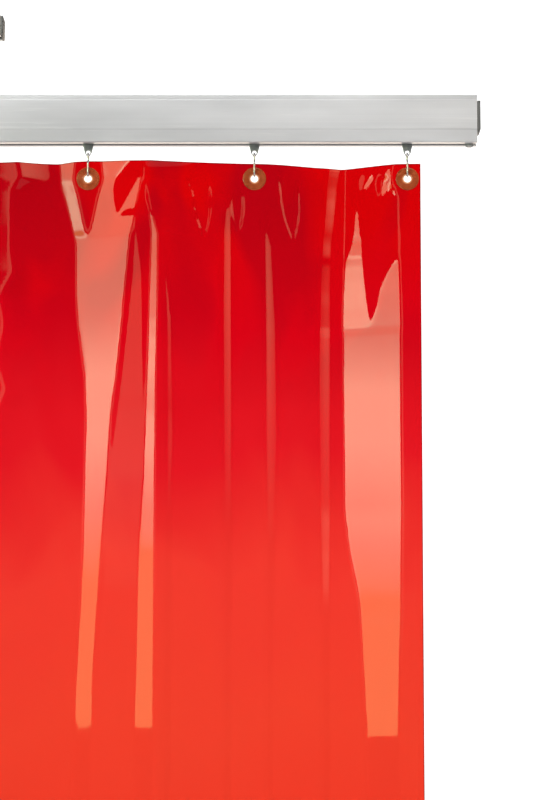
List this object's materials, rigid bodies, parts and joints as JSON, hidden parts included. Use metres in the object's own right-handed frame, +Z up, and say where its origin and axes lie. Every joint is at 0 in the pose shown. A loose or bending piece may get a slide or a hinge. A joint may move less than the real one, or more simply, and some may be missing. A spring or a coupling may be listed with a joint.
{
  "type": "rail-hung welding curtain",
  "caption": "Tinted red-orange welding film hung in soft waves from rolling hangers and S-hooks in an aluminium rail, with drop rods to a short ceiling strut.",
  "frame": {"origin": "centre of the ceiling strut's top face, where it meets the ceiling", "axes": "+Z up and out of the ceiling face, +X along the rail to the curtain's leading edge, front faces -Y"},
  "size_m": [1.408, 0.0776, 1.9795],
  "materials": {
    "rail_aluminium": "satin anodised, fine lines along the extrusion",
    "galvanised_steel": "galvanised, dull spangle",
    "zinc_plate": "zinc plated, satin",
    "bright_wire": "bright drawn wire",
    "black_plastic": "moulded, matte",
    "white_nylon": "moulded, satin",
    "amber_plastic": "translucent, glossy",
    "red_orange_film": "tinted translucent film, glossy"
  },
  "bodies": {
    "rail": {"rail": "rail_aluminium", "ceiling_strut": "galvanised_steel", "strut_cap_left": "black_plastic", "strut_cap_right": "black_plastic", "rail_cap_left": "black_plastic", "rail_cap_right": "black_plastic", "end_stop_left": "white_nylon", "end_stop_right": "white_nylon", "end_stop_screw_left": "zinc_plate", "end_stop_screw_right": "zinc_plate", "drop_rod_left": "galvanised_steel", "drop_rod_right": "galvanised_steel", "channel_nut_left": "galvanised_steel", "channel_nut_right": "galvanised_steel", "upper_lock_nut_left": "galvanised_steel", "upper_lock_nut_right": "galvanised_steel", "lower_lock_nut_left": "galvanised_steel", "lower_lock_nut_right": "galvanised_steel", "rail_t_nut_left": "galvanised_steel", "rail_t_nut_right": "galvanised_steel"},
    "hanger_1": {"hanger_plate_1": "zinc_plate", "hanger_axle_1": "zinc_plate"},
    "wheels_1": {"front_wheel_1": "white_nylon", "back_wheel_1": "white_nylon"},
    "hook_1": {"s_hook_1": "bright_wire", "eyelet_1": "amber_plastic"},
    "hanger_2": {"hanger_plate_2": "zinc_plate", "hanger_axle_2": "zinc_plate"},
    "wheels_2": {"front_wheel_2": "white_nylon", "back_wheel_2": "white_nylon"},
    "hook_2": {"s_hook_2": "bright_wire", "eyelet_2": "amber_plastic"},
    "hanger_3": {"hanger_plate_3": "zinc_plate", "hanger_axle_3": "zinc_plate"},
    "wheels_3": {"front_wheel_3": "white_nylon", "back_wheel_3": "white_nylon"},
    "hook_3": {"s_hook_3": "bright_wire", "eyelet_3": "amber_plastic"},
    "hanger_4": {"hanger_plate_4": "zinc_plate", "hanger_axle_4": "zinc_plate"},
    "wheels_4": {"front_wheel_4": "white_nylon", "back_wheel_4": "white_nylon"},
    "hook_4": {"s_hook_4": "bright_wire", "eyelet_4": "amber_plastic"},
    "hanger_5": {"hanger_plate_5": "zinc_plate", "hanger_axle_5": "zinc_plate"},
    "wheels_5": {"front_wheel_5": "white_nylon", "back_wheel_5": "white_nylon"},
    "hook_5": {"s_hook_5": "bright_wire", "eyelet_5": "amber_plastic"},
    "hanger_6": {"hanger_plate_6": "zinc_plate", "hanger_axle_6": "zinc_plate"},
    "wheels_6": {"front_wheel_6": "white_nylon", "back_wheel_6": "white_nylon"},
    "hook_6": {"s_hook_6": "bright_wire", "eyelet_6": "amber_plastic"},
    "curtain": {"curtain_film": "red_orange_film"}
  },
  "joints": [
    {"name": "draw_curtain", "type": "slide", "parent": "rail", "child": "hanger_1", "axis": [1, 0, 0], "range_m": [-0.9797, 0], "deforming": ["curtain_film"]},
    {"name": "wheels_1_roll", "type": "hinge", "parent": "hanger_1", "child": "wheels_1", "pos_m": [0.61601, 0, -0.1486], "axis": [0, 1, 0], "continuous": true},
    {"name": "hook_1_swing", "type": "hinge", "parent": "hanger_1", "child": "hook_1", "pos_m": [0.61601, 0, -0.1729], "axis": [1, 0, 0], "range_deg": [-30, 30]},
    {"name": "hanger_2_slide", "type": "slide", "parent": "rail", "child": "hanger_2", "axis": [1, 0, 0], "range_m": [-0.83644, 0]},
    {"name": "wheels_2_roll", "type": "hinge", "parent": "hanger_2", "child": "wheels_2", "pos_m": [0.4318, 0, -0.1486], "axis": [0, 1, 0], "continuous": true},
    {"name": "hook_2_swing", "type": "hinge", "parent": "hanger_2", "child": "hook_2", "pos_m": [0.4318, 0, -0.1729], "axis": [1, 0, 0], "range_deg": [-30, 30]},
    {"name": "hanger_3_slide", "type": "slide", "parent": "rail", "child": "hanger_3", "axis": [1, 0, 0], "range_m": [-0.68005, 0]},
    {"name": "wheels_3_roll", "type": "hinge", "parent": "hanger_3", "child": "wheels_3", "pos_m": [0.23141, 0, -0.1486], "axis": [0, 1, 0], "continuous": true},
    {"name": "hook_3_swing", "type": "hinge", "parent": "hanger_3", "child": "hook_3", "pos_m": [0.23141, 0, -0.1729], "axis": [1, 0, 0], "range_deg": [-30, 30]},
    {"name": "hanger_4_slide", "type": "slide", "parent": "rail", "child": "hanger_4", "axis": [1, 0, 0], "range_m": [-0.52169, 0]},
    {"name": "wheels_4_roll", "type": "hinge", "parent": "hanger_4", "child": "wheels_4", "pos_m": [0.02849, 0, -0.1486], "axis": [0, 1, 0], "continuous": true},
    {"name": "hook_4_swing", "type": "hinge", "parent": "hanger_4", "child": "hook_4", "pos_m": [0.02849, 0, -0.1729], "axis": [1, 0, 0], "range_deg": [-30, 30]},
    {"name": "hanger_5_slide", "type": "slide", "parent": "rail", "child": "hanger_5", "axis": [1, 0, 0], "range_m": [-0.37333, 0]},
    {"name": "wheels_5_roll", "type": "hinge", "parent": "hanger_5", "child": "wheels_5", "pos_m": [-0.16162, 0, -0.1486], "axis": [0, 1, 0], "continuous": true},
    {"name": "hook_5_swing", "type": "hinge", "parent": "hanger_5", "child": "hook_5", "pos_m": [-0.16162, 0, -0.1729], "axis": [1, 0, 0], "range_deg": [-30, 30]},
    {"name": "hanger_6_slide", "type": "slide", "parent": "rail", "child": "hanger_6", "axis": [1, 0, 0], "range_m": [-0.20913, 0]},
    {"name": "wheels_6_roll", "type": "hinge", "parent": "hanger_6", "child": "wheels_6", "pos_m": [-0.37201, 0, -0.1486], "axis": [0, 1, 0], "continuous": true},
    {"name": "hook_6_swing", "type": "hinge", "parent": "hanger_6", "child": "hook_6", "pos_m": [-0.37201, 0, -0.1729], "axis": [1, 0, 0], "range_deg": [-30, 30]},
    {"name": "curtain_swing", "type": "hinge", "parent": "rail", "child": "curtain", "pos_m": [0, 0, -0.1729], "axis": [1, 0, 0], "range_deg": [-30, 30]}
  ],
  "couplings": [
    {"joint": "wheels_1_roll", "follows": "draw_curtain", "rad_per_m": 188.68},
    {"joint": "hook_1_swing", "follows": "curtain_swing", "ratio": 1},
    {"joint": "hanger_2_slide", "follows": "draw_curtain", "ratio": 0.85334},
    {"joint": "wheels_2_roll", "follows": "draw_curtain", "rad_per_m": 161.01},
    {"joint": "hook_2_swing", "follows": "curtain_swing", "ratio": 1},
    {"joint": "hanger_3_slide", "follows": "draw_curtain", "ratio": 0.69379},
    {"joint": "wheels_3_roll", "follows": "draw_curtain", "rad_per_m": 130.9},
    {"joint": "hook_3_swing", "follows": "curtain_swing", "ratio": 1},
    {"joint": "hanger_4_slide", "follows": "draw_curtain", "ratio": 0.53223},
    {"joint": "wheels_4_roll", "follows": "draw_curtain", "rad_per_m": 100.42},
    {"joint": "hook_4_swing", "follows": "curtain_swing", "ratio": 1},
    {"joint": "hanger_5_slide", "follows": "draw_curtain", "ratio": 0.38087},
    {"joint": "wheels_5_roll", "follows": "draw_curtain", "rad_per_m": 71.862},
    {"joint": "hook_5_swing", "follows": "curtain_swing", "ratio": 1},
    {"joint": "hanger_6_slide", "follows": "draw_curtain", "ratio": 0.21336},
    {"joint": "wheels_6_roll", "follows": "draw_curtain", "rad_per_m": 40.257},
    {"joint": "hook_6_swing", "follows": "curtain_swing", "ratio": 1}
  ]
}
